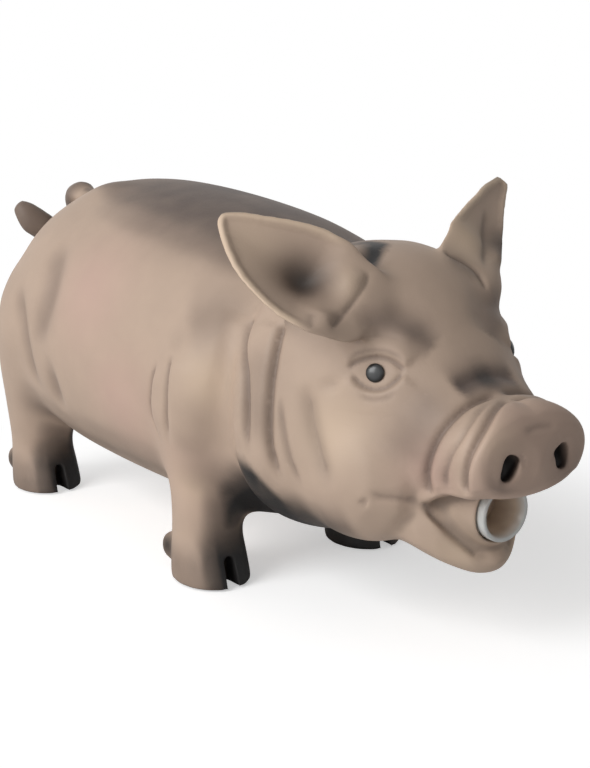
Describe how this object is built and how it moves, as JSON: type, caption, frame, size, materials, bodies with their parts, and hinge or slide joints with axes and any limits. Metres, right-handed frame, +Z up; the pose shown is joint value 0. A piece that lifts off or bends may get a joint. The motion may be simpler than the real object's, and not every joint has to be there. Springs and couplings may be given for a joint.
{
  "type": "latex pig dog toy",
  "caption": "Hollow latex pig squeeze toy for dogs, standing on its hooves, filled with fleece, with a clear voice tube and grunting reed in its open mouth.",
  "frame": {"origin": "on the floor under the middle of the toy's length and width", "axes": "+X from tail to snout, +Y to the pig's left, +Z up"},
  "size_m": [0.2276, 0.0953, 0.1093],
  "materials": {
    "latex": "matte latex, tan with pink and airbrushed grey-brown shading",
    "enamel": "glossy near-black enamel",
    "clear_plastic": "clear, polished",
    "moulded_plastic": "as moulded",
    "reed_film": "smooth film",
    "fleece": "loose polyester fibre"
  },
  "bodies": {
    "skin": {"trunk": "latex", "head": "latex", "lower_jaw": "latex", "right_front_leg": "latex", "left_front_leg": "latex", "right_rear_leg": "latex", "left_rear_leg": "latex", "right_eye": "enamel", "left_eye": "enamel", "voice_tube": "clear_plastic", "tone_board": "moulded_plastic", "reed_wedge": "moulded_plastic", "strainer_cap": "moulded_plastic", "fleece_filling": "fleece"},
    "right_ear_flap": {"right_ear": "latex"},
    "left_ear_flap": {"left_ear": "latex"},
    "tail_curl": {"tail": "latex"},
    "reed_tongue": {"reed": "reed_film"}
  },
  "joints": [
    {"name": "right_ear_flex", "type": "hinge", "parent": "skin", "child": "right_ear_flap", "pos_m": [0.07135, -0.0215, 0.0876], "axis": [-0.2371, 0.6814, 0.6924], "range_deg": [-30, 30], "stiffness_Nm_per_rad": 0.05},
    {"name": "left_ear_flex", "type": "hinge", "parent": "skin", "child": "left_ear_flap", "pos_m": [0.07135, 0.0215, 0.0876], "axis": [0.2371, 0.6814, -0.6924], "range_deg": [-30, 30], "stiffness_Nm_per_rad": 0.05},
    {"name": "tail_flex", "type": "hinge", "parent": "skin", "child": "tail_curl", "pos_m": [-0.09075, -0.0005, 0.0903], "axis": [0, 0, 1], "range_deg": [-20, 20], "stiffness_Nm_per_rad": 0.03},
    {"name": "reed_flutter", "type": "hinge", "parent": "skin", "child": "reed_tongue", "pos_m": [0.08435, 0, 0.03945], "axis": [0, 1, 0], "range_deg": [-3, 4], "stiffness_Nm_per_rad": 0.0003}
  ]
}
